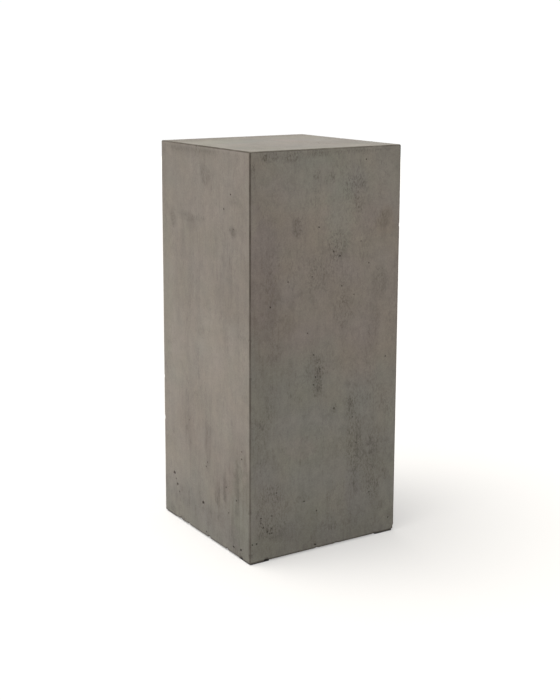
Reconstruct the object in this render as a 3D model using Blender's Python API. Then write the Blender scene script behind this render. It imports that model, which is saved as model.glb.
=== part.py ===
"""Square display pedestal: a thin-walled cast concrete shell, open underneath, standing on four low pads.

Units are metres, +Z is up. The origin is the centre of the footprint, on the floor.
-Y is the front, -X is the left side. The plan is square, so all four sides are alike.
"""

import bmesh
import bpy
from mathutils import Vector

# Outer size of the whole pedestal, pads included.
WIDTH = 0.350
HEIGHT = 0.800

# The shell's material thickness: side walls, top slab, and the thicker rim along the open underside.
WALL = 0.014
TOP_SLAB = 0.016
RIM_WALL = 0.016
RIM_HEIGHT = 0.040

# Rounded arrises, as a mould with eased corners leaves them, and the softer rounding inside.
ARRIS_RADIUS = 0.003
BASE_EASE = 0.0015
INNER_RADIUS = 0.006

# Foot pads: square, set a little in from the faces, glued under the corners.
PAD_SIDE = 0.045
PAD_THICKNESS = 0.0025
PAD_INSET = 0.0025
PAD_CORNER_RADIUS = 0.004
PAD_EASE = 0.0004
GLUE_GAP = 0.0003

# The underside of the concrete stands on the pads.
BASE_Z = PAD_THICKNESS + GLUE_GAP

# Each inside corner of the rim is filled by a triangular seat just large enough for the pad.
SEAT_REACH = 2 * (PAD_INSET + PAD_SIDE)

CORNERS = {
    "front_left": (-1, -1),
    "front_right": (1, -1),
    "back_left": (-1, 1),
    "back_right": (1, 1),
}

CONCRETE_COLOUR = (0.275, 0.242, 0.208, 1.0)
PAD_COLOUR = (0.022, 0.021, 0.020, 1.0)


def clear_scene():
    for obj in list(bpy.data.objects):
        bpy.data.objects.remove(obj, do_unlink=True)


def make_material(name, colour, roughness):
    material = bpy.data.materials.new(name)
    material.use_nodes = True
    shader = material.node_tree.nodes["Principled BSDF"]
    shader.inputs["Base Color"].default_value = colour
    shader.inputs["Roughness"].default_value = roughness
    shader.inputs["Metallic"].default_value = 0.0
    material.diffuse_color = colour
    return material


def block(low, high):
    """A bmesh box between two corner points."""
    bm = bmesh.new()
    low, high = Vector(low), Vector(high)
    bmesh.ops.create_cube(bm, size=1.0)
    bmesh.ops.scale(bm, verts=bm.verts, vec=high - low)
    bmesh.ops.translate(bm, verts=bm.verts, vec=(low + high) / 2)
    return bm


def is_upright(edge):
    a, b = (v.co for v in edge.verts)
    return abs(a.z - b.z) > 1e-5 and (a - b).to_2d().length < 1e-6


def lies_at(edge, height):
    return all(abs(v.co.z - height) < 1e-6 for v in edge.verts)


def round_edges(bm, edges, radius, segments):
    bmesh.ops.bevel(
        bm,
        geom=list(edges),
        offset=radius,
        offset_type="OFFSET",
        affect="EDGES",
        segments=segments,
        profile=0.5,
        material=-1,
    )


def to_object(name, bm, material, parent=None, location=(0.0, 0.0, 0.0)):
    bmesh.ops.recalc_face_normals(bm, faces=bm.faces)
    mesh = bpy.data.meshes.new(name)
    bm.to_mesh(mesh)
    bm.free()
    obj = bpy.data.objects.new(name, mesh)
    if material is not None:
        mesh.materials.append(material)
    bpy.context.scene.collection.objects.link(obj)
    obj.parent = parent
    obj.location = location
    return obj


def make_cutter(name, bm, parent):
    cutter = to_object(name, bm, None, parent)
    cutter.hide_render = True
    cutter.display_type = "WIRE"
    return cutter


def make_shell(material, parent):
    """The cast body: an upright block, hollowed from below."""
    half = WIDTH / 2
    bm = block((-half, -half, BASE_Z), (half, half, HEIGHT))
    round_edges(bm, [e for e in bm.edges if not lies_at(e, BASE_Z)], ARRIS_RADIUS, 4)
    round_edges(bm, [e for e in bm.edges if lies_at(e, BASE_Z)], BASE_EASE, 2)
    shell = to_object("shell", bm, material, parent)

    # The chamber above the rim, with rounded inside corners.
    inner = half - WALL
    chamber_floor = BASE_Z + RIM_HEIGHT
    bm = block((-inner, -inner, chamber_floor), (inner, inner, HEIGHT - TOP_SLAB))
    round_edges(bm, bm.edges, INNER_RADIUS, 3)
    chamber = make_cutter("chamber_cutter", bm, parent)

    # The mouth through the rim: square with the four corner seats cut across it.
    mouth = half - RIM_WALL
    bm = block((-mouth, -mouth, -BASE_Z), (mouth, mouth, chamber_floor + 2 * INNER_RADIUS))
    round_edges(bm, [e for e in bm.edges if is_upright(e)], SEAT_REACH - 2 * RIM_WALL, 1)
    opening = make_cutter("mouth_cutter", bm, parent)

    for cutter in (chamber, opening):
        hollow = shell.modifiers.new(cutter.name, "BOOLEAN")
        hollow.operation = "DIFFERENCE"
        hollow.solver = "EXACT"
        hollow.object = cutter
    return shell


def make_pad(corner, material, parent):
    """One foot pad, with its origin at the centre of its underside."""
    sign_x, sign_y = CORNERS[corner]
    half = PAD_SIDE / 2
    bm = block((-half, -half, 0.0), (half, half, PAD_THICKNESS))
    round_edges(bm, [e for e in bm.edges if is_upright(e)], PAD_CORNER_RADIUS, 4)
    rims = [e for e in bm.edges if lies_at(e, 0.0) or lies_at(e, PAD_THICKNESS)]
    round_edges(bm, rims, PAD_EASE, 1)
    centre = WIDTH / 2 - PAD_INSET - half
    location = (sign_x * centre, sign_y * centre, 0.0)
    return to_object("foot_" + corner, bm, material, parent, location)


def main():
    clear_scene()
    concrete = make_material("concrete", CONCRETE_COLOUR, 0.75)
    rubber = make_material("foot_rubber", PAD_COLOUR, 0.85)
    pedestal = bpy.data.objects.new("pedestal", None)
    bpy.context.scene.collection.objects.link(pedestal)
    make_shell(concrete, pedestal)
    for corner in CORNERS:
        make_pad(corner, rubber, pedestal)


main()
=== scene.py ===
# %% [markdown]
# # A square concrete pedestal
# The pedestal is one thin-walled casting of fine grey concrete, hollow and open underneath, on four
# low rubber pads. Its form is very plain, so its character comes from small things: faces that are
# true but not perfect, air holes, chipped edges, a dark line along each arris, and the clouds,
# streaks and flecks that release oil leaves. This lesson builds those round a frame of exact solids.

import math
import random

import bmesh
import bpy
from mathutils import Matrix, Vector, kdtree, noise


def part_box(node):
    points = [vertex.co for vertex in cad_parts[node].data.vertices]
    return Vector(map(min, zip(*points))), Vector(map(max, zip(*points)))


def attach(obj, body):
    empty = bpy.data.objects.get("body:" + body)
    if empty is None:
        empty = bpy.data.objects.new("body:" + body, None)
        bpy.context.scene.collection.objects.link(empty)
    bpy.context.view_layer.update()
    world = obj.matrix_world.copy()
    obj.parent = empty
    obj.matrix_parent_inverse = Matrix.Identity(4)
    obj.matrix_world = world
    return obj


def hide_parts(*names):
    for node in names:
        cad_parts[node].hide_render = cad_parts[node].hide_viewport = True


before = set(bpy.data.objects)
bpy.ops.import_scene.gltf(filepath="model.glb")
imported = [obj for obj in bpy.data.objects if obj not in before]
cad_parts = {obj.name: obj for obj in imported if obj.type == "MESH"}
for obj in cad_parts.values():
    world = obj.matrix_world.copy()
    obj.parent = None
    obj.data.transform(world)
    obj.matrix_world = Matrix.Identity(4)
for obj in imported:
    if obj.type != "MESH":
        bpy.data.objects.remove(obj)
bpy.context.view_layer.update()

# %% [markdown]
# The casting's outer size is read from the frame, so the fine piece can't drift from it. The wall
# thicknesses and roundings can't be read from a box, so they are named here once, in metres. TOUCH is
# how close two places have to be to count as one.

# %% Sizes of the casting
shell_low, shell_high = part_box("shell")
HALF = shell_high.x
BASE = shell_low.z
TOP = shell_high.z

WALL = 0.014
TOP_SLAB = 0.016
RIM_WALL = 0.016
RIM_HEIGHT = 0.040
ARRIS = 0.003
BASE_EASE = 0.0015
INNER_RADIUS = 0.006
TOUCH = 1e-5

pad_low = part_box("foot_front_right")[0]
SEAT_REACH = 2 * (HALF - pad_low.x)
print("casting", round(2 * HALF, 4), "wide and", round(TOP - BASE, 4), "tall")
print("each seat reaches", round(SEAT_REACH, 4), "along both faces of its corner")

# %% [markdown]
# The outside starts as a cube scaled to size. A mould's corners are never knife-sharp, so every arris
# is rounded with four segments, and the edge round the open underside gets a smaller ease.

# %% The outer block
ARRIS_SEGMENTS = 4
EASE_SEGMENTS = 2


def block(low, high):
    bm = bmesh.new()
    bmesh.ops.create_cube(bm, size=1.0)
    bmesh.ops.scale(bm, verts=bm.verts, vec=high - low)
    bmesh.ops.translate(bm, verts=bm.verts, vec=(low + high) / 2)
    return bm


def round_edges(bm, edges, radius, segments):
    bmesh.ops.bevel(
        bm, geom=list(edges), offset=radius, offset_type="OFFSET", affect="EDGES",
        segments=segments, profile=0.5, material=-1,
    )


def lies_at(edge, height):
    return all(abs(v.co.z - height) < TOUCH for v in edge.verts)


skin = block(shell_low, shell_high)
round_edges(skin, [e for e in skin.edges if not lies_at(e, BASE)], ARRIS, ARRIS_SEGMENTS)
round_edges(skin, [e for e in skin.edges if lies_at(e, BASE)], BASE_EASE, EASE_SEGMENTS)
print("outer block:", len(skin.faces), "faces")

# %% [markdown]
# Air holes and small dents need points to work with. Cutting all long edges of one direction at once
# lays a regular grid over the faces: a loop cut in code. 5 mm is fine enough for every mark here and
# keeps the whole piece well under its limit of triangles. Only the edges that cross a whole face are
# longer than LONG.

# %% A 5 mm grid over the faces
GRID = 0.005
LONG = 0.3


def cut_long_edges(bm, axis):
    long_edges = []
    for edge in bm.edges:
        a, b = (v.co for v in edge.verts)
        if abs(a[axis] - b[axis]) > LONG:
            long_edges.append(edge)
    span = max(e.calc_length() for e in long_edges)
    cuts = round(span / GRID) - 1
    bmesh.ops.subdivide_edges(bm, edges=long_edges, cuts=cuts, use_grid_fill=True)
    print("axis", "xyz"[axis], "cut", cuts, "times:", len(bm.faces), "faces")


for axis in (2, 0, 1):
    cut_long_edges(skin, axis)


# %% [markdown]
# The hollow is made the way a caster thinks of it, as cores: one for the wide chamber, and one for the
# mouth through the thicker rim, whose corners are cut across. What the second core leaves in the
# corners are the four seats that carry the pads.

# %% Two cores
INNER_SEGMENTS = 3

chamber_floor = BASE + RIM_HEIGHT
inner = HALF - WALL
core = block(Vector((-inner, -inner, chamber_floor)), Vector((inner, inner, TOP - TOP_SLAB)))
round_edges(core, core.edges, INNER_RADIUS, INNER_SEGMENTS)

opening = HALF - RIM_WALL
neck_top = chamber_floor + 2 * INNER_RADIUS
neck = block(Vector((-opening, -opening, -BASE)), Vector((opening, opening, neck_top)))
upright = [e for e in neck.edges if abs(e.verts[0].co.z - e.verts[1].co.z) > TOUCH]
round_edges(neck, upright, SEAT_REACH - 2 * RIM_WALL, 1)
print("cores:", len(core.faces), "and", len(neck.faces), "faces")


# %% [markdown]
# Boolean modifiers take both cores out of the block. The result is then made the piece's own mesh and
# read back into a bmesh, so that the next steps can go on working on it.

# %% Take out the cores
def mesh_object(name, bm):
    bmesh.ops.recalc_face_normals(bm, faces=bm.faces)
    mesh = bpy.data.meshes.new(name)
    bm.to_mesh(mesh)
    bm.free()
    obj = bpy.data.objects.new(name, mesh)
    bpy.context.scene.collection.objects.link(obj)
    return obj


casting = mesh_object("concrete_casting", skin)
cores = [mesh_object("chamber_core", core), mesh_object("mouth_core", neck)]
for cutter in cores:
    cut = casting.modifiers.new(cutter.name, "BOOLEAN")
    cut.operation = "DIFFERENCE"
    cut.solver = "EXACT"
    cut.object = cutter
bpy.context.view_layer.update()
evaluated = casting.evaluated_get(bpy.context.evaluated_depsgraph_get())
hollowed = bpy.data.meshes.new_from_object(evaluated)
casting.modifiers.clear()
casting.data = hollowed
for cutter in cores:
    bpy.data.objects.remove(cutter)

skin = bmesh.new()
skin.from_mesh(casting.data)
print("hollow casting:", len(skin.faces), "faces,", round(skin.calc_volume() * 1000, 2), "litres")


# %% [markdown]
# A point on the casting is easiest to give as a maker would chalk it on: which side, how far along it
# from that side's left end, and how high, in millimetres. Left is the -X side and front is the -Y
# side; right and back follow round. On the top the two numbers run along X and Y. What is done at a
# point also needs a direction: straight into its face, or across both faces on an arris.

# %% Chalk marks to points
def chalk(side, along, height):
    along, height = along / 1000, height / 1000
    return {
        "left": Vector((-HALF, HALF - along, height)),
        "front": Vector((along - HALF, -HALF, height)),
        "right": Vector((HALF, along - HALF, height)),
        "back": Vector((HALF - along, HALF, height)),
        "top": Vector((along - HALF, height - HALF, TOP)),
    }[side]


def inward(point):
    """The direction into the concrete at a point of the outside: across both faces on an arris."""
    way = Vector((0, 0, 0))
    reach = 1.5 * ARRIS
    if abs(point.x) > HALF - reach:
        way.x = -math.copysign(1, point.x)
    if abs(point.y) > HALF - reach:
        way.y = -math.copysign(1, point.y)
    if point.z > TOP - reach:
        way.z = -1
    if point.z < BASE + reach:
        way.z = 1
    return way.normalized() if way.length else way


print("the middle of the front is", tuple(round(v, 4) for v in chalk("front", 175, 400)))

# %% [markdown]
# Air holes are bubbles that sat against the mould. The ones on the sides that were seen are put where
# they are. The right and back sides get two dozen each from a seeded generator, more of them near the
# foot, where bubbles stay caught. Holes too wide for one cell of the grid are kept apart as pockets,
# because they need another way of making.

# %% Where the air holes are
SEEN_HOLES = {
    # along, height and radius in millimetres
    "left": [
        (43, 97, 4.4), (167, 70, 3.8), (257, 683, 1.4), (280, 714, 1.2), (56, 76, 2.8),
        (52, 86, 1.4), (288, 17, 3.2), (316, 20, 2.7), (318, 222, 1.5), (321, 206, 1.7),
        (70, 8, 1.6), (180, 12, 1.5), (288, 648, 1.0), (300, 118, 1.2), (262, 132, 1.1),
        (110, 232, 1.0), (180, 150, 1.3), (186, 160, 1.0), (270, 80, 1.2), (66, 64, 1.2),
    ],
    "front": [
        (191, 600, 1.5), (205, 592, 1.3), (263, 774, 0.9), (141, 555, 0.9), (84, 551, 0.8),
        (155, 648, 1.2), (255, 615, 0.8), (43, 507, 1.0), (147, 399, 1.3), (128, 446, 0.8),
        (318, 378, 1.0), (209, 530, 0.9), (238, 512, 0.8), (273, 568, 0.8), (27, 83, 1.1),
        (30, 72, 1.1), (38, 61, 1.1), (45, 57, 1.1), (52, 58, 1.0), (48, 66, 0.9), (15, 42, 1.3),
        (5, 44, 1.0), (196, 287, 1.8), (124, 108, 0.9), (286, 99, 1.2), (154, 84, 0.9),
        (154, 11, 2.4), (336, 32, 1.2), (60, 135, 0.9), (240, 262, 0.9), (250, 205, 0.8),
        (150, 358, 1.2), (160, 372, 1.0), (146, 340, 1.1), (48, 90, 0.9), (24, 90, 0.8),
    ],
    "top": [
        (120, 60, 0.9), (236, 118, 1.0), (262, 268, 0.8),
    ],
}
LARGE = 2.0
HOLES_PER_HIDDEN_SIDE = 24
HIDDEN_ALONG = (8, 342)
HIDDEN_LOWEST = 6
HIDDEN_REACH = 800
SINKING = 1.4
HIDDEN_RADII = (0.7, 0.8, 0.9, 1.1, 1.4, 1.8)

bubbles = random.Random(11)
holes = []
pockets = []
for side, marks in SEEN_HOLES.items():
    for along, height, radius in marks:
        kept = pockets if radius > LARGE else holes
        kept.append((chalk(side, along, height), radius / 1000))
for side in ("right", "back"):
    for _ in range(HOLES_PER_HIDDEN_SIDE):
        along = bubbles.uniform(*HIDDEN_ALONG)
        height = HIDDEN_REACH * bubbles.random() ** SINKING + HIDDEN_LOWEST
        holes.append((chalk(side, along, height), bubbles.choice(HIDDEN_RADII) / 1000))
print("air holes wanted:", len(holes), "small and", len(pockets), "large")


# %% [markdown]
# Each small hole is made in the cell of the grid that is nearest to it. The cell is inset, its corner
# points are bevelled so that the square becomes an eight-sided mouth, noise unsettles the outline, and
# two more insets with a depth sink it. The "pore" value that the sunk points get later darkens them,
# because dirt and shadow gather in a hole.

# %% Sink the air holes
CORNER_CUT = 0.55
UNSETTLED = 0.3
HOLE_STEPS = ((0.0008, 0.00015), (0.0007, 0.0004))


def cell_finder(bm):
    cells = [f for f in bm.faces if len(f.verts) == 4 and f.calc_area() > 0.8 * GRID * GRID]
    tree = kdtree.KDTree(len(cells))
    for index, cell in enumerate(cells):
        tree.insert(cell.calc_center_median(), index)
    tree.balance()
    return cells, tree


def is_mouth(face):
    small = len(face.verts) == 8 and face.calc_area() < GRID * GRID
    return small and face.calc_center_median().z > BASE


pore = skin.verts.layers.float.new("pore")
cells, tree = cell_finder(skin)
taken = {}
for spot, radius in holes:
    taken.setdefault(cells[tree.find(spot)[1]], radius)
for radius in sorted(set(taken.values())):
    squares = [cell for cell, size in taken.items() if size == radius]
    bmesh.ops.inset_individual(skin, faces=squares, thickness=GRID / 2 - radius)
    corners = [v for square in squares for v in square.verts]
    bmesh.ops.bevel(
        skin, geom=corners, offset=CORNER_CUT * radius, offset_type="OFFSET", affect="VERTICES",
        segments=1, profile=0.5, material=-1,
    )
mouths = [f for f in skin.faces if is_mouth(f)]
for mouth in mouths:
    centre = mouth.calc_center_median()
    for v in mouth.verts:
        v.co = centre + (v.co - centre) * (1 + UNSETTLED * noise.noise(v.co * 500))
for depth, narrowing in HOLE_STEPS:
    bmesh.ops.inset_individual(skin, faces=mouths, thickness=narrowing, depth=-depth)
    for mouth in mouths:
        for v in mouth.verts:
            v[pore] = 1.0
print("air holes:", len(mouths), "of", len(taken), "wanted;", len(skin.faces), "faces")


# %% [markdown]
# Arrises and the base edge chip where the casting was lifted out and set down. Round each chip the edges are
# cut finer, then the points are pushed into the concrete by a rounded fall-off, roughened with noise so that
# the break looks broken and not moulded. Each break also gets a painted shadow as its pore value, darkest in
# its middle. The large air holes are sunk by the same function. They are cut finer and are smoother, steeper
# and darker than a chip; in them the pore value is dirt and painted shadow.

# %% Chipped edges
CHIPS = {
    # along, height, reach and depth in millimetres
    "front": [
        (1, 371, 4.0, 0.9), (0, 106, 6.0, 1.3), (1, 18, 6.0, 1.6), (38, 3, 7.0, 2.4),
        (157, 3, 5.0, 0.8), (349, 6, 7.0, 2.0), (205, 3, 5.0, 0.6), (300, 3, 5.0, 0.6),
        (112, 799, 5.0, 0.9), (349, 640, 4.0, 0.8),
    ],
    "left": [
        (349, 445, 5.0, 1.2), (70, 3, 5.0, 1.5), (105, 3, 6.0, 1.2), (190, 3, 6.0, 1.6),
        (262, 3, 5.0, 1.3), (318, 3, 6.0, 1.8), (150, 799, 4.0, 0.8), (1, 300, 4.0, 0.8),
    ],
    "right": [
        (90, 3, 6.0, 1.6), (240, 3, 5.0, 1.4), (200, 799, 5.0, 0.9),
    ],
    "back": [
        (60, 3, 6.0, 1.5), (210, 3, 5.0, 1.2), (1, 520, 5.0, 1.0), (349, 210, 5.0, 1.1),
        (140, 799, 4.0, 0.8),
    ],
}
AS_A_CHIP = {"ragged": 0.5, "shadow": 0.6, "cuts": 3, "steep": 2}
AS_A_POCKET = {"ragged": 0.3, "shadow": 1.2, "cuts": 5, "steep": 4}
FINE_ENOUGH = 0.0016


def break_away(bm, spot, reach, depth, ragged, shadow, cuts, steep):
    near = []
    for edge in bm.edges:
        middle = (edge.verts[0].co + edge.verts[1].co) / 2
        if (middle - spot).length < 1.4 * reach + GRID / 2 and edge.calc_length() > FINE_ENOUGH:
            near.append(edge)
    bmesh.ops.subdivide_edges(bm, edges=near, cuts=cuts, use_grid_fill=True)
    way = inward(spot)
    for v in bm.verts:
        away = (v.co - spot).length
        if away < 1.5 * reach:
            away *= 1 + 0.7 * ragged * noise.noise(v.co * 260)
        if away < reach:
            rough = 1 + ragged * noise.noise(v.co * 900)
            v.co += way * depth * (1 - (away / reach) ** steep) * rough
            v[pore] = max(v[pore], min(shadow, 0.9 * steep * (1 - away / reach)))


for side, marks in CHIPS.items():
    for along, height, reach, depth in marks:
        break_away(skin, chalk(side, along, height), reach / 1000, depth / 1000, **AS_A_CHIP)
for spot, radius in pockets:
    break_away(skin, spot, radius, radius, **AS_A_POCKET)
chips = sum(len(marks) for marks in CHIPS.values())
print("chips:", chips, "and large air holes:", len(pockets), "->", len(skin.faces), "faces")

# %% [markdown]
# A mould's panels bow a little and are never quite flat, which is what makes real concrete catch the
# light unevenly. Every outer point moves a few tenths of a millimetre into the casting by slow noise:
# inwards only, so that the piece never grows past its own box. The lowest half millimetre stays where
# it is, so that the underside stays flat over the pads.

# %% Not quite flat
BOW = 0.0004
STAYS = 0.0005


def on_outside(point):
    past = max(abs(point.x), abs(point.y)) - (HALF - ARRIS)
    return past > -TOUCH or point.z > TOP - ARRIS - TOUCH


def noise_at(point, scale, shift=(0, 0, 0)):
    """Smooth noise with about this many waves to a metre; another shift gives another pattern."""
    return noise.noise(point * scale + Vector(shift))


moved = 0
for v in skin.verts:
    if on_outside(v.co) and v.co.z > BASE + STAYS:
        slow = 0.5 + 0.5 * noise_at(v.co, 9)
        quick = 0.5 + 0.5 * noise_at(v.co, 60, (3, 5, 7))
        v.co += inward(v.co) * BOW * (0.75 * slow + 0.25 * quick)
        moved += 1
print("points bowed:", moved)

# %% [markdown]
# The stains follow no pattern that a formula knows, so they are painted as soft patches, given one by one,
# and kept as values at the points of the mesh. The first kind is where release oil pooled and left the
# concrete brown and flecked.

# %% Oil stains
SPOTS = {
    # along, height, half width and half height in millimetres, and strength
    "left": [
        (182, 744, 25, 24, 0.50), (125, 654, 50, 9, 0.50), (288, 645, 16, 10, 0.85),
        (50, 645, 14, 26, 0.60), (300, 705, 30, 14, 0.30), (130, 790, 170, 6, 0.60),
        (165, 432, 16, 16, 0.30), (300, 172, 26, 12, 0.30), (320, 445, 22, 8, 0.35),
        (150, 360, 12, 40, 0.25), (120, 520, 14, 60, 0.25), (250, 300, 12, 30, 0.20),
        (37, 14, 14, 10, 0.80), (79, 7, 13, 8, 0.80), (306, 12, 24, 14, 0.60),
    ],
    "front": [
        (238, 728, 30, 34, 0.55), (250, 690, 12, 20, 0.55), (104, 654, 12, 22, 0.70),
        (199, 612, 26, 34, 0.48), (310, 655, 22, 26, 0.48), (302, 530, 22, 34, 0.40),
        (48, 560, 26, 130, 0.25), (154, 338, 14, 36, 0.95), (162, 372, 11, 26, 0.75),
        (146, 388, 18, 12, 0.40), (130, 362, 12, 22, 0.35), (150, 352, 28, 44, 0.12),
        (196, 286, 8, 11, 0.90), (243, 225, 20, 120, 0.42), (236, 285, 10, 26, 0.35),
        (286, 160, 12, 70, 0.36), (294, 104, 20, 24, 0.60), (150, 752, 12, 14, 0.62),
        (186, 745, 9, 12, 0.55), (96, 788, 26, 10, 0.70), (146, 791, 30, 8, 0.80),
        (250, 792, 80, 5, 0.60), (52, 140, 22, 26, 0.35), (36, 66, 24, 26, 0.35),
        (210, 42, 40, 6, 0.40), (120, 112, 26, 10, 0.45), (55, 420, 22, 18, 0.30),
        (28, 400, 8, 24, 0.40), (152, 560, 34, 40, 0.36), (215, 480, 30, 40, 0.36),
        (290, 440, 18, 60, 0.34), (225, 690, 90, 90, 0.24), (190, 560, 90, 110, 0.20),
        (55, 95, 44, 70, 0.55), (265, 230, 60, 140, 0.34), (300, 140, 40, 90, 0.34),
        (9, 765, 4, 16, 0.95), (44, 788, 26, 12, 0.70), (35, 780, 7, 14, 0.45),
        (118, 640, 10, 60, 0.34), (175, 215, 60, 60, 0.22), (20, 250, 16, 60, 0.30),
        (330, 250, 16, 90, 0.26), (38, 285, 20, 30, 0.34), (110, 318, 10, 10, 0.35),
        (310, 60, 24, 12, 0.30),
    ],
    "right": [
        (80, 620, 30, 60, 0.45), (230, 300, 14, 90, 0.50), (150, 90, 50, 30, 0.35),
        (290, 720, 34, 28, 0.45), (180, 790, 120, 6, 0.55), (40, 240, 12, 70, 0.40),
    ],
    "back": [
        (120, 540, 40, 50, 0.35), (250, 180, 16, 90, 0.45), (60, 330, 12, 70, 0.45),
        (200, 700, 26, 30, 0.50), (150, 791, 140, 6, 0.55), (300, 470, 18, 40, 0.35),
    ],
}
print("oil stains:", {side: len(marks) for side, marks in SPOTS.items()})

# %% [markdown]
# The second kind darkens or lightens the paste in broad patches. The long low patches along the foot of each
# side are painted shade, darker towards the floor. The pale band along the left edge of the top is a painted
# highlight, where the rounded edge catches the light. The other patches make the paste darker or paler in
# places. A strength below zero is paler.

# %% Broad shades
SHADES = {
    # The long low patches near the foot of each side are painted shade, darker towards the floor.
    # along, height, half width and half height in millimetres, and strength
    "left": [
        (30, 400, 70, 300, -0.22), (300, 550, 80, 160, 0.30), (230, 690, 200, 110, 0.10),
        (60, 710, 100, 90, 0.16), (150, 390, 200, 90, -0.34), (330, 60, 110, 150, 0.82),
        (180, 25, 260, 75, 0.62), (112, 205, 10, 55, 0.75), (187, 195, 14, 60, 0.75),
        (226, 106, 9, 30, 0.85), (255, 120, 8, 38, 1.20), (302, 130, 9, 60, 0.75),
        (130, 60, 90, 30, 0.20), (240, 160, 90, 90, 0.30), (181, 743, 25, 28, 0.50),
        (288, 644, 15, 14, 0.90), (105, 655, 34, 13, 0.45), (125, 640, 22, 18, 0.45),
        (50, 645, 15, 26, 0.45), (120, 786, 100, 14, 0.42), (200, 250, 8, 60, 0.40),
        (150, 470, 12, 90, 0.28), (110, 350, 8, 60, 0.12), (260, 400, 10, 70, 0.20),
        (215, 620, 26, 40, 0.20), (90, 590, 14, 40, 0.25), (25, 255, 40, 70, -0.30),
        (130, 190, 60, 110, 0.34), (320, 190, 60, 120, 0.38), (220, 110, 60, 80, 0.30),
        (100, 250, 8, 70, 0.30), (180, 235, 7, 60, 0.35), (130, 60, 90, 60, 0.20),
    ],
    "front": [
        (20, 380, 70, 350, 0.62), (250, 35, 300, 55, 0.42), (60, 80, 80, 80, 0.34),
        (110, 740, 130, 70, -0.30), (300, 160, 60, 110, 0.25), (175, 30, 250, 40, 0.20),
        (200, 140, 110, 80, 0.22), (120, 490, 60, 90, 0.12), (104, 652, 11, 24, 0.50),
        (155, 352, 12, 40, 0.50), (175, 745, 26, 16, 0.30), (310, 655, 20, 26, 0.35),
        (300, 500, 30, 60, 0.22), (48, 520, 12, 80, 0.30), (92, 470, 10, 60, 0.22),
        (128, 250, 16, 60, 0.16), (210, 730, 150, 120, -0.50), (205, 670, 45, 90, -0.48),
        (243, 105, 24, 50, 0.40), (190, 600, 110, 90, -0.22), (330, 440, 40, 90, -0.22),
        (100, 545, 80, 90, -0.28),
    ],
    "top": [
        # The first top patch, a pale band along the left edge, is a painted highlight where the rounded edge
        # catches the light.
        (7, 150, 6, 170, -0.55), (175, 330, 230, 50, 0.42), (60, 60, 110, 80, 0.25),
        (200, 90, 70, 60, 0.12), (250, 240, 70, 70, -0.15), (181, 265, 60, 18, 0.28),
        (320, 320, 60, 50, 0.30), (340, 210, 9, 120, -0.40), (120, 190, 40, 90, 0.18),
        (290, 90, 50, 40, 0.20), (30, 300, 40, 40, 0.30),
    ],
    "right": [
        (175, 30, 260, 70, 0.50), (60, 500, 80, 200, 0.25), (260, 360, 90, 130, -0.20),
    ],
    "back": [
        (175, 30, 260, 70, 0.50), (270, 560, 80, 160, 0.25), (100, 300, 90, 120, -0.20),
    ],
}
print("shades:", {side: len(marks) for side, marks in SHADES.items()})

# %% [markdown]
# The last two kinds shift the hue. Iron in the sand turns some places reddish where others stay greenish,
# and old oil turns some yellowish where others look bluish. On the top, one wide patch of the second table
# is painted light instead: it makes the whole top bluer, the cool cast of the light from above. Strengths
# below zero mean greener in the first table and bluer in the second.

# %% Shifts of hue
REDDER = {
    # along, height, half width and half height in millimetres, and strength
    "front": [
        (205, 670, 38, 85, -0.50), (118, 214, 36, 28, 0.48), (30, 590, 40, 110, 0.18),
        (40, 700, 50, 60, 0.25), (312, 653, 26, 32, 0.75), (150, 780, 60, 16, -0.20),
    ],
    "left": [
        (318, 105, 42, 95, -0.60), (345, 330, 24, 90, -0.20), (20, 500, 26, 200, -0.25),
    ],
    "top": [
        (218, 205, 30, 60, 0.60), (105, 245, 60, 60, -0.30),
    ],
    "right": [
        (120, 420, 60, 90, -0.35), (270, 180, 50, 60, -0.40),
    ],
    "back": [
        (90, 640, 60, 80, -0.35), (230, 300, 50, 90, -0.30),
    ],
}
YELLOWER = {
    # along, height, half width and half height in millimetres, and strength
    "front": [
        (205, 670, 45, 90, 0.45), (28, 590, 40, 110, -0.75), (243, 105, 22, 50, -0.90),
        (245, 730, 26, 34, -0.60), (36, 150, 40, 100, -0.35), (130, 250, 40, 30, 0.35),
        (118, 214, 36, 28, -0.60), (30, 765, 30, 30, 0.50), (312, 653, 26, 32, 0.70),
    ],
    "left": [
        (318, 110, 40, 95, 0.65), (150, 60, 120, 30, -0.40), (20, 500, 26, 200, 0.45),
    ],
    "top": [
        # The second top patch is painted light: the whole top made bluer, as under the cool light from
        # above.
        (105, 245, 60, 60, 0.50), (220, 150, 190, 190, -0.55),
    ],
}
hues = sum(len(marks) for table in (REDDER, YELLOWER) for marks in table.values())
print("shifts of hue:", hues)


# %% [markdown]
# One function says how much of a table lies on a point. A patch is full in its middle and fades out
# towards its half width and half height, and noise makes its outline waver. Broad patches fade slowly.
# Small ones have a crisper edge, as a dried drop has.

# %% How much of a patch lies on a point
BROAD = 0.045
SOFT_EDGE = (0.35, 1.25)
CRISP_EDGE = (0.58, 1.12)


def side_of(point):
    if point.z > TOP - ARRIS and max(abs(point.x), abs(point.y)) < HALF - ARRIS:
        return "top"
    if abs(point.x) > abs(point.y):
        return "left" if point.x < 0 else "right"
    return "front" if point.y < 0 else "back"


def soft_step(low, high, value):
    t = min(1.0, max(0.0, (value - low) / (high - low)))
    return t * t * (3 - 2 * t)


def in_metres(table):
    patches = {}
    for side, marks in table.items():
        patches[side] = [
            (chalk(side, along, height), wide / 1000, tall / 1000, strength)
            for along, height, wide, tall, strength in marks
        ]
    return patches


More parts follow.
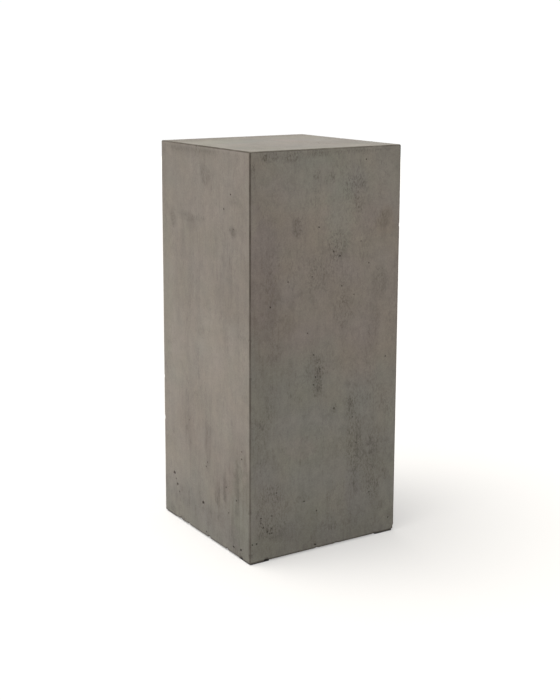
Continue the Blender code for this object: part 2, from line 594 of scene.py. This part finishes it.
def laid_on(patches, point, side):
    waver = 0.35 * noise_at(point, 45) + 0.22 * noise_at(point, 120)
    total = 0.0
    for centre, wide, tall, strength in patches.get(side, ()):
        away = point - centre
        if side == "top":
            across, up = away.x / wide, away.y / tall
        else:
            across, up = (away.x + away.y) / wide, away.z / tall
        full, gone = SOFT_EDGE if wide > BROAD else CRISP_EDGE
        total += strength * (1 - soft_step(full, gone, math.hypot(across + waver, up - waver)))
    return total


spots, shades, redder, yellower = (in_metres(table) for table in (SPOTS, SHADES, REDDER, YELLOWER))
oiliest = laid_on(spots, chalk("front", 154, 338), "front")
print("oil stain at 154, 338 on the front:", round(oiliest, 2))


# %% [markdown]
# Under the patches both hues also drift by slow noise. The front turns from greenish below to pinkish
# above, along a line that slopes, and loses some of the pink again near the top. The left side is
# greenish only at its foot. A last value says how much of the finish is blotted, as most of the front
# is, and not streaked, as most of the left side is.

# %% Hue and mottle at a point
PINK_STARTS = (0.31, 0.43)
PINK_FADES = (0.64, 0.74)
PINK_SLOPE = 0.3
GREEN_FOOT = (0.02, 0.18)
MOTTLED = {"left": 0.30, "front": 1.0, "right": 0.80, "back": 0.45, "top": 0.60}


def within(low, high, value):
    return max(low, min(high, value))


def warmth_at(point, side):
    drift = 0.34 * noise_at(point, 11, (4, 4, 4)) + 0.24 * noise_at(point, 34)
    drift += laid_on(redder, point, side)
    if side == "front":
        uneven = point.z + PINK_SLOPE * point.x + 0.05 * noise_at(point, 14)
        drift += 1.05 * soft_step(*PINK_STARTS, uneven) - 0.66 * soft_step(*PINK_FADES, point.z) - 0.55
    if side == "left":
        drift += 0.40 - 0.80 * (1 - soft_step(*GREEN_FOOT, point.z))
    return within(-1.0, 1.0, drift)


def sallow_at(point, side):
    wander = 0.9 if side == "front" else 0.5
    drift = wander * noise_at(point, 17, (6, 1, 3)) + laid_on(yellower, point, side)
    return within(-1.0, 1.0, drift)


def mottle_at(point, side):
    return within(0.0, 1.0, MOTTLED[side] * (0.75 + 0.9 * noise_at(point, 10, (9, 2, 6))))


for height in (200, 600):
    warmth_here = warmth_at(chalk("front", 175, height), "front")
    print("warmth of the front at", height, "mm:", round(warmth_here, 2))

# %% [markdown]
# The five values become attributes of the mesh, one number for each point, which the material reads
# by name. Points of the inside keep zero in all of them.

# %% Paint the points
stain = skin.verts.layers.float.new("stain")
mottled = skin.verts.layers.float.new("mottled")
tone_and_painted_shade = skin.verts.layers.float.new("tone_and_painted_shade")
warmth = skin.verts.layers.float.new("warmth")
sallow = skin.verts.layers.float.new("sallow")
points = 0
for v in skin.verts:
    if on_outside(v.co):
        side = side_of(v.co)
        v[stain] = laid_on(spots, v.co, side)
        # The shades table brings broad tone and the painted shade towards the floor.
        v[tone_and_painted_shade] = laid_on(shades, v.co, side)
        v[warmth] = warmth_at(v.co, side)
        v[mottled] = mottle_at(v.co, side)
        v[sallow] = sallow_at(v.co, side)
        points += 1
print("painted", points, "of", len(skin.verts), "points")

# %% [markdown]
# The finished mesh goes back to its object. Faces are shaded smooth, and edges that turn more than 35
# degrees, such as the rims of air holes and breaks, stay crisp. The piece stands for the plain shell
# of the frame.

# %% Close the piece
CRISP_ABOVE = math.radians(35)

skin.to_mesh(casting.data)
skin.free()
casting.data.shade_smooth()
casting.data.set_sharp_from_angle(angle=CRISP_ABOVE)
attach(casting, "root")
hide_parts("shell")
triangles = sum(len(p.vertices) - 2 for p in casting.data.polygons)
print("casting:", triangles, "triangles")

# %% [markdown]
# Materials are built from nodes, and a few helpers keep that short: one for a node group with named
# sockets, one for arithmetic, one for a soft ramp, one for noise and one for mixing colours. Where a
# helper takes a value, it takes a number or another node's output. A mix node has sockets for several
# kinds of value: its colours go in at numbers 6 and 7 and come out at number 2.

# %% A small kit for nodes
def new_group(name, inputs, outputs):
    group = bpy.data.node_groups.new(name, "ShaderNodeTree")
    for label, kind, value in inputs:
        socket = group.interface.new_socket(name=label, in_out="INPUT", socket_type=kind)
        if value is not None:
            socket.default_value = value
    for label in outputs:
        group.interface.new_socket(name=label, in_out="OUTPUT", socket_type="NodeSocketFloat")
    return group, group.nodes.new("NodeGroupInput"), group.nodes.new("NodeGroupOutput")


def feed(tree, socket, value):
    if isinstance(value, (int, float, tuple)):
        socket.default_value = value
    elif value is not None:
        tree.links.new(value, socket)


def math_node(tree, operation, a, b=None, c=None, clamp=False):
    node = tree.nodes.new("ShaderNodeMath")
    node.operation = operation
    node.use_clamp = clamp
    for socket, value in zip(node.inputs, (a, b, c)):
        feed(tree, socket, value)
    return node.outputs[0]


def ramp_node(tree, value, low, high, to_low=0.0, to_high=1.0):
    node = tree.nodes.new("ShaderNodeMapRange")
    node.interpolation_type = "SMOOTHSTEP"
    tree.links.new(value, node.inputs["Value"])
    numbers = {"From Min": low, "From Max": high, "To Min": to_low, "To Max": to_high}
    for label, number in numbers.items():
        node.inputs[label].default_value = number
    return node.outputs[0]


def noise_node(tree, vector, scale, detail=2.0, roughness=0.5, warp=0.0):
    """The scale is a number or a node's output, or three numbers that stretch the pattern."""
    if isinstance(scale, tuple):
        mapping = tree.nodes.new("ShaderNodeMapping")
        mapping.inputs["Scale"].default_value = scale
        tree.links.new(vector, mapping.inputs["Vector"])
        vector, scale = mapping.outputs[0], 1.0
    node = tree.nodes.new("ShaderNodeTexNoise")
    node.inputs["Detail"].default_value = detail
    node.inputs["Roughness"].default_value = roughness
    node.inputs["Distortion"].default_value = warp
    tree.links.new(vector, node.inputs["Vector"])
    feed(tree, node.inputs["Scale"], scale)
    return node.outputs[0]


def mix_colour(tree, factor, a, b, blend="MIX"):
    node = tree.nodes.new("ShaderNodeMix")
    node.data_type = "RGBA"
    node.blend_type = blend
    feed(tree, node.inputs["Factor"], factor)
    feed(tree, node.inputs[6], a)
    feed(tree, node.inputs[7], b)
    return node.outputs[2]


print("helpers ready: group, arithmetic, ramp, noise and mix")

# %% [markdown]
# Both finishes of this pedestal have a fine grain, so the grain is one node group with its own scale
# for each material. A group hands out only what changes over the surface: here a height and a shade.

# %% A fine grain
def fine_grain():
    group, given, out = new_group(
        "fine_grain",
        [("Vector", "NodeSocketVector", None), ("Scale", "NodeSocketFloat", 500.0)],
        ["Shade", "Height"],
    )
    grain = noise_node(group, given.outputs["Vector"], given.outputs["Scale"], 3.0, 0.6)
    group.links.new(grain, out.inputs["Height"])
    group.links.new(ramp_node(group, grain, 0.3, 0.7), out.inputs["Shade"])
    return group


grain_group = fine_grain()
print("group", grain_group.name, "with", len(grain_group.nodes), "nodes")


# %% [markdown]
# Eight layers of variation lie over each other on the concrete, all made of the same noise. Clouds are
# a hand wide and blotches a thumb wide. Streaks and the thinner runs are stretched along the height,
# because oil ran down the mould. Flecks and short strokes are much finer and cut off below, so that
# only small dark specks are left, and clusters say where they gather. Mottle is warped and cut off
# sharply, which gives the ragged islands of a blotted surface.

# %% Clouds, streaks and flecks
LAYERS = [
    # name, waves to a metre across and up, detail, roughness, warp, and the ramp's ends and low value
    ("Clouds", 9, 9, 3.0, 0.55, 0.0, 0.28, 0.72, -1.0),
    ("Blotches", 46, 46, 4.0, 0.62, 0.0, 0.28, 0.72, -1.0),
    ("Streaks", 42, 7, 4.0, 0.65, 0.0, 0.28, 0.72, -1.0),
    ("Runs", 135, 13, 3.0, 0.55, 0.0, 0.50, 0.66, 0.0),
    ("Strokes", 230, 62, 2.0, 0.50, 0.0, 0.585, 0.645, 0.0),
    ("Flecks", 320, 165, 2.0, 0.60, 0.0, 0.49, 0.61, 0.0),
    ("Clusters", 22, 9, 3.0, 0.55, 0.0, 0.46, 0.66, 0.0),
    ("Mottle", 88, 60, 4.0, 0.62, 1.0, 0.51, 0.585, 0.0),
]


def concrete_clouds():
    group, given, out = new_group(
        "concrete_clouds",
        [("Vector", "NodeSocketVector", None)],
        [layer[0] for layer in LAYERS],
    )
    for label, across, up, detail, roughness, warp, low, high, lowest in LAYERS:
        stretch = (float(across), float(across), float(up))
        value = noise_node(group, given.outputs["Vector"], stretch, detail, roughness, warp)
        group.links.new(ramp_node(group, value, low, high, lowest, 1.0), out.inputs[label])
    return group


clouds_group = concrete_clouds()
print("group", clouds_group.name, "with", len(clouds_group.nodes), "nodes")


# %% [markdown]
# Cement paste gathers in the mould's corners and darkens them, so each arris has a thin dark line. The edge
# at the foot has a dark line too, which is painted shadow: the shade in the narrow gap under the casting.
# The lines are found from the position alone: a point is on an upright arris when it is within a few
# millimetres of both a left or right face and a front or back face, and on a top or foot edge when it is
# that close to the top or the underside and to a side.

# %% Dark arrises
ARRIS_SOFT = 0.0034
ARRIS_FULL = 0.0026
TOP_SOFT = 0.0034
TOP_FULL = 0.0020
FOOT_SHADOW_SOFT = 0.0042
FOOT_SHADOW_FULL = 0.0022
FAINT_BELOW = 0.25
PLAIN_ABOVE = 0.65
FAINT = 0.76


def dark_arrises():
    group, given, out = new_group(
        "dark_arrises",
        [("Vector", "NodeSocketVector", None)],
        ["Upright", "Top Left", "Top Front", "Foot Shadow Left", "Foot Shadow Front"],
    )
    split = group.nodes.new("ShaderNodeSeparateXYZ")
    group.links.new(given.outputs["Vector"], split.inputs[0])
    across = math_node(group, "ABSOLUTE", split.outputs[0])
    deep = math_node(group, "ABSOLUTE", split.outputs[1])
    height = split.outputs[2]
    near_x = ramp_node(group, across, HALF - ARRIS_SOFT, HALF - ARRIS_FULL)
    near_y = ramp_node(group, deep, HALF - ARRIS_SOFT, HALF - ARRIS_FULL)
    near_top = ramp_node(group, height, TOP - TOP_SOFT, TOP - TOP_FULL)
    # Painted shadow: the band just above the underside is darkened for the shade in the gap below it.
    near_foot_shadow = ramp_node(group, height, BASE + FOOT_SHADOW_SOFT, BASE + FOOT_SHADOW_FULL)
    # The upright lines are a little fainter in the lower part.
    fade = ramp_node(group, height, FAINT_BELOW, PLAIN_ABOVE, FAINT, 1.0)
    upright = math_node(group, "MULTIPLY", near_x, near_y)
    group.links.new(math_node(group, "MULTIPLY", upright, fade), out.inputs["Upright"])
    group.links.new(math_node(group, "MULTIPLY", near_x, near_top), out.inputs["Top Left"])
    group.links.new(math_node(group, "MULTIPLY", near_y, near_top), out.inputs["Top Front"])
    group.links.new(math_node(group, "MULTIPLY", near_x, near_foot_shadow), out.inputs["Foot Shadow Left"])
    group.links.new(math_node(group, "MULTIPLY", near_y, near_foot_shadow), out.inputs["Foot Shadow Front"])
    return group


arris_group = dark_arrises()
print("group", arris_group.name, "with", len(arris_group.nodes), "nodes")


# %% [markdown]
# The paste itself is a warm grey, mixed from a pinkish and a greenish tone by the painted warmth. A
# faint cast towards blue or yellow goes over it by the painted sallowness.

# %% Tone of the paste
WARM_TONE = (0.213, 0.182, 0.1535, 1.0)
COOL_TONE = (0.1838, 0.179, 0.151, 1.0)
BLUE_CAST = (1.0, 1.0, 1.045, 1.0)
YELLOW_CAST = (1.0, 1.0, 0.955, 1.0)


def painted(tree, name):
    node = tree.nodes.new("ShaderNodeAttribute")
    node.attribute_name = name
    return node.outputs["Fac"]


def paste_tone(tree):
    warm = ramp_node(tree, painted(tree, "warmth"), -1.0, 1.0)
    tone = mix_colour(tree, warm, COOL_TONE, WARM_TONE)
    yellow = ramp_node(tree, painted(tree, "sallow"), -1.0, 1.0)
    cast = mix_colour(tree, yellow, BLUE_CAST, YELLOW_CAST)
    return mix_colour(tree, 1.0, tone, cast, "MULTIPLY")


print("paste from", COOL_TONE[:3], "to", WARM_TONE[:3])


# %% [markdown]
# Everything that lightens or darkens the paste evenly is added up into one factor near 1, the painted shade
# towards the floor among it. Streaks and runs give way where the surface is blotted. Runs are plainer where
# the broad patches darken the paste, painted shade included, and strokes where they gather and in the
# stains. Air holes and breaks are darkest: painted shade in both, and dirt in the holes. Darker paste also
# looks a little redder, so the darkening takes less from red.

# %% One shade for every darkening
SHADING = {
    "Clouds": 0.045,
    "Streaks": 0.055,
    "Mottle": -0.090,
    "Blotches": 0.070,
    "grain": 0.15,
    # Broad tone, with the painted shade towards the floor.
    "tone_and_painted_shade": -0.20,
    "Runs": -0.13,
    "Strokes": -0.15,
    "pore": -0.50,
}
PLAIN_SHADE = 1.014
STREAKS_LOST = 0.60
RUNS_ANYWHERE = 0.30
STROKES_ANYWHERE = 0.35
BRIGHTEST = 1.25
BRIGHT_TINT = (BRIGHTEST, BRIGHTEST, BRIGHTEST, 1.0)
DARK_TINT = (0.06, 0.0, 0.0, 1.0)


def shaded(tree, tone, clouds, grain):
    tone_and_painted_shade = painted(tree, "tone_and_painted_shade")
    mottled = painted(tree, "mottled")
    streaked = math_node(tree, "MULTIPLY_ADD", mottled, -STREAKS_LOST, 1.0)
    wet = math_node(tree, "ADD", tone_and_painted_shade, RUNS_ANYWHERE, clamp=True)
    runs = math_node(tree, "MULTIPLY", clouds["Runs"], wet)
    more = 1 - STROKES_ANYWHERE
    gathered = math_node(tree, "MULTIPLY_ADD", clouds["Clusters"], more, STROKES_ANYWHERE)
    stroked = math_node(tree, "ADD", gathered, painted(tree, "stain"))
    values = {
        "Streaks": math_node(tree, "MULTIPLY", clouds["Streaks"], streaked),
        "Mottle": math_node(tree, "MULTIPLY", clouds["Mottle"], mottled),
        "Blotches": clouds["Blotches"],
        "grain": math_node(tree, "SUBTRACT", grain["Shade"], 0.5),
        "tone_and_painted_shade": tone_and_painted_shade,
        "Runs": math_node(tree, "MULTIPLY", runs, streaked),
        "Strokes": math_node(tree, "MULTIPLY", clouds["Strokes"], stroked),
        "pore": painted(tree, "pore"),
    }
    shade = math_node(tree, "MULTIPLY_ADD", clouds["Clouds"], SHADING["Clouds"], PLAIN_SHADE)
    for name, value in values.items():
        shade = math_node(tree, "MULTIPLY_ADD", value, SHADING[name], shade)
    bright = math_node(tree, "DIVIDE", shade, BRIGHTEST)
    darkness = math_node(tree, "SUBTRACT", 1.0, bright, clamp=True)
    tint = mix_colour(tree, darkness, BRIGHT_TINT, DARK_TINT)
    return mix_colour(tree, 1.0, tone, tint, "MULTIPLY")


print("things that shade the paste:", ", ".join(SHADING))


# %% [markdown]
# Release oil lies over that as a dark brown. In a painted stain it is a thin, mottled veil with dense
# flecks in it. Outside the stains only the flecks are left, and only where they gather.

# %% Oil over the paste
OIL_TONE = (0.082, 0.070, 0.056, 1.0)
OIL_MOST = 0.85
VEIL = 0.15
VEIL_MOTTLE = 0.20
FLECKS_OUTSIDE = 0.30
FLECK_STRENGTH = 0.50


def oiled(tree, colour, clouds):
    stain = painted(tree, "stain")
    veil = math_node(tree, "MULTIPLY_ADD", clouds["Mottle"], VEIL_MOTTLE, VEIL)
    veil = math_node(tree, "MULTIPLY", stain, veil)
    flecked = math_node(tree, "MULTIPLY_ADD", clouds["Clusters"], FLECKS_OUTSIDE, stain)
    flecks = math_node(tree, "MULTIPLY", clouds["Flecks"], flecked)
    oil = math_node(tree, "MULTIPLY_ADD", flecks, FLECK_STRENGTH, veil)
    return mix_colour(tree, math_node(tree, "MINIMUM", oil, OIL_MOST), colour, OIL_TONE)


print("oil", OIL_TONE[:3], "covers at most", OIL_MOST)


# %% [markdown]
# The arris lines and the painted foot shadow are put together from the group's five, each with its own
# strength, and broken along their length by noise, because paste doesn't gather evenly on the arrises.

# %% Lines along the arrises
ARRIS_AND_FOOT_SHADOW_TONE = (0.052, 0.040, 0.029, 1.0)
LINE_STRENGTHS = {
    "Upright": 0.95,
    "Top Left": 0.95,
    "Top Front": 0.75,
    # The two foot entries are painted shadow under the casting's edge.
    "Foot Shadow Left": 0.60,
    "Foot Shadow Front": 0.90,
}


def arris_and_foot_shadow_line(tree, arris, where):
    line = 0.0
    for label, strength in LINE_STRENGTHS.items():
        part = math_node(tree, "MULTIPLY", arris[label], strength)
        line = math_node(tree, "MAXIMUM", line, part)
    broken = ramp_node(tree, noise_node(tree, where, 22.0, 4.0, 0.65), 0.30, 0.62, 0.65, 1.0)
    return math_node(tree, "MULTIPLY", line, broken)


print("arris lines:", LINE_STRENGTHS)


# %% [markdown]
# Now the material takes these together. The dark arris lines, and the painted foot shadow with them, are a
# little smoother than the open faces, and the blotches vary the sheen a little. The small relief comes from
# a Bump node fed by the same grain, streaks and blotches as the colour, so light and colour agree.

# %% Cast concrete
CONCRETE_GRAIN = 420.0
CONCRETE_ROUGHNESS = 0.66
CONCRETE_SHINE = 0.35
BLOTCH_ROUGHNESS = 0.05
LINE_ROUGHNESS = -0.12
STREAK_RELIEF = 0.25
BLOTCH_RELIEF = 0.20
RELIEF_STRENGTH = 0.35
RELIEF_DEPTH = 0.0004


def use_group(tree, group, vector):
    node = tree.nodes.new("ShaderNodeGroup")
    node.node_tree = group
    tree.links.new(vector, node.inputs["Vector"])
    return node


def bumped(tree, height, strength, distance):
    bump = tree.nodes.new("ShaderNodeBump")
    bump.inputs["Strength"].default_value = strength
    bump.inputs["Distance"].default_value = distance
    tree.links.new(height, bump.inputs["Height"])
    return bump.outputs[0]


def cast_concrete():
    material = bpy.data.materials.new("cast_concrete")
    material.use_nodes = True
    tree = material.node_tree
    shader = tree.nodes["Principled BSDF"]
    where = tree.nodes.new("ShaderNodeTexCoord").outputs["Object"]
    clouds = use_group(tree, clouds_group, where).outputs
    grain_node = use_group(tree, grain_group, where)
    grain_node.inputs["Scale"].default_value = CONCRETE_GRAIN
    grain = grain_node.outputs
    line = arris_and_foot_shadow_line(tree, use_group(tree, arris_group, where).outputs, where)

    body = oiled(tree, shaded(tree, paste_tone(tree), clouds, grain), clouds)
    # The dark tone covers the arris lines and the painted shadow along the foot.
    tree.links.new(mix_colour(tree, line, body, ARRIS_AND_FOOT_SHADOW_TONE), shader.inputs["Base Color"])

    rough = math_node(tree, "MULTIPLY_ADD", clouds["Blotches"], BLOTCH_ROUGHNESS, CONCRETE_ROUGHNESS)
    rough = math_node(tree, "MULTIPLY_ADD", line, LINE_ROUGHNESS, rough)
    tree.links.new(rough, shader.inputs["Roughness"])
    shader.inputs["Specular IOR Level"].default_value = CONCRETE_SHINE

    relief = math_node(tree, "MULTIPLY_ADD", clouds["Streaks"], STREAK_RELIEF, grain["Height"])
    relief = math_node(tree, "MULTIPLY_ADD", clouds["Blotches"], BLOTCH_RELIEF, relief)
    uneven = bumped(tree, relief, RELIEF_STRENGTH, RELIEF_DEPTH)
    tree.links.new(uneven, shader.inputs["Normal"])
    return material


concrete = cast_concrete()
casting.data.materials.clear()
casting.data.materials.append(concrete)
print("material", concrete.name, "with", len(concrete.node_tree.nodes), "nodes")


# %% [markdown]
# The pads are cut from dense black rubber sheet. Their solids in the frame already have the right
# shape, so only the finish is new: the shared grain at a finer scale, and patches of pale dust.

# %% Rubber pads
PAD_TONE = (0.020, 0.019, 0.018, 1.0)
PAD_DUST = (0.085, 0.078, 0.068, 1.0)
PAD_GRAIN = 900.0


def foot_rubber():
    material = bpy.data.materials.new("foot_rubber_fine")
    material.use_nodes = True
    tree = material.node_tree
    shader = tree.nodes["Principled BSDF"]
    where = tree.nodes.new("ShaderNodeTexCoord").outputs["Object"]
    grain = use_group(tree, grain_group, where)
    grain.inputs["Scale"].default_value = PAD_GRAIN
    dusty = ramp_node(tree, noise_node(tree, where, 60.0), 0.45, 0.7)
    dust = math_node(tree, "MULTIPLY", grain.outputs["Shade"], dusty)
    tree.links.new(mix_colour(tree, dust, PAD_TONE, PAD_DUST), shader.inputs["Base Color"])
    shader.inputs["Roughness"].default_value = 0.85
    tree.links.new(bumped(tree, grain.outputs["Height"], 0.3, 0.0002), shader.inputs["Normal"])
    return material


rubber = foot_rubber()
pads = [node for name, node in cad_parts.items() if name.startswith("foot_")]
for pad in pads:
    pad.data.materials.clear()
    pad.data.materials.append(rubber)
print("pads finished:", len(pads))


# %% [markdown]
# The stage is a white paper floor inside a pale drum of paper, both so bright that they turn plain
# white in the picture. The paper is faintly warm, so the upright faces are too. It also glows a little
# by itself, as the lit table of a product photographer does, which thins the shadow.

# %% Floor and drum
DRUM_RADIUS = 9.0
DRUM_HEIGHT = 2.6
ROUND = 96
FLOOR_TONE = (0.355, 0.336, 0.317, 1.0)
FLOOR_GLOW = 0.4
DRUM_TONE = (0.0, 0.0, 0.0, 1.0)
DRUM_GLOW = 1.02
WHITE = (1.0, 1.0, 1.0, 1.0)


def paper_sheet(name, bm, colour, glow):
    sheet = mesh_object(name, bm)
    paper = bpy.data.materials.new(name)
    paper.use_nodes = True
    shader = paper.node_tree.nodes["Principled BSDF"]
    shader.inputs["Base Color"].default_value = colour
    shader.inputs["Roughness"].default_value = 0.9
    shader.inputs["Specular IOR Level"].default_value = 0.0
    shader.inputs["Emission Color"].default_value = WHITE
    shader.inputs["Emission Strength"].default_value = glow
    sheet.data.materials.append(paper)
    sheet.visible_shadow = False
    return sheet


bm = bmesh.new()
bmesh.ops.create_circle(bm, cap_ends=True, segments=ROUND, radius=DRUM_RADIUS)
paper_sheet("paper_floor", bm, FLOOR_TONE, FLOOR_GLOW)

bm = bmesh.new()
bmesh.ops.create_circle(bm, cap_ends=False, segments=ROUND, radius=DRUM_RADIUS)
drawn_up = bmesh.ops.extrude_edge_only(bm, edges=list(bm.edges))["geom"]
rim = [v for v in drawn_up if isinstance(v, bmesh.types.BMVert)]
bmesh.ops.translate(bm, verts=rim, vec=(0, 0, DRUM_HEIGHT))
paper_sheet("paper_drum", bm, DRUM_TONE, DRUM_GLOW)
print("drum", DRUM_HEIGHT, "high,", 2 * DRUM_RADIUS, "across")

# %% [markdown]
# One very broad light hangs almost overhead, a little to the left and behind: the top is the brightest
# face, the left side comes next, and the front is lit mostly by what the floor gives back. The world
# outside the drum stays dim.

# %% Light
LIGHT_FROM = Vector((-0.22, 0.105, 0.97))

overhead = bpy.data.lights.new("overhead", "SUN")
overhead.angle = math.radians(50)
overhead.energy = 5.9
overhead.color = (0.98, 1.0, 1.0)
light = bpy.data.objects.new("overhead", overhead)
light.rotation_euler = LIGHT_FROM.to_track_quat("Z", "Y").to_euler()
bpy.context.scene.collection.objects.link(light)

world = bpy.data.worlds.new("dim_surround")
world.use_nodes = True
background = world.node_tree.nodes["Background"]
background.inputs["Color"].default_value = WHITE
background.inputs["Strength"].default_value = 0.04
bpy.context.scene.world = world
bpy.context.scene.view_settings.view_transform = "Standard"
bpy.context.scene.view_settings.look = "None"
print("light", round(math.degrees(LIGHT_FROM.angle(Vector((0, 0, 1))))), "degrees off the vertical")

# %% [markdown]
# The camera stands about two and a half metres away, a little above the pedestal's top, and looks
# down ten degrees past the near corner. A small shift of the lens keeps the upright edges as nearly
# parallel as the picture needs without tilting further.

# %% Camera
camera_data = bpy.data.cameras.new("camera")
camera_data.lens = 64.15
camera_data.sensor_width = 36.0
camera_data.shift_x = 0.04
camera_data.shift_y = -0.12
camera = bpy.data.objects.new("camera", camera_data)
camera.location = (-1.3616, -2.1155, 0.9875)
camera.rotation_euler = (math.radians(90 - 9.94), 0.0, math.radians(-31.55))
bpy.context.scene.collection.objects.link(camera)
bpy.context.scene.camera = camera
print("camera", round(camera.location.xy.length, 2), "from the middle,", round(camera.location.z, 2), "high")
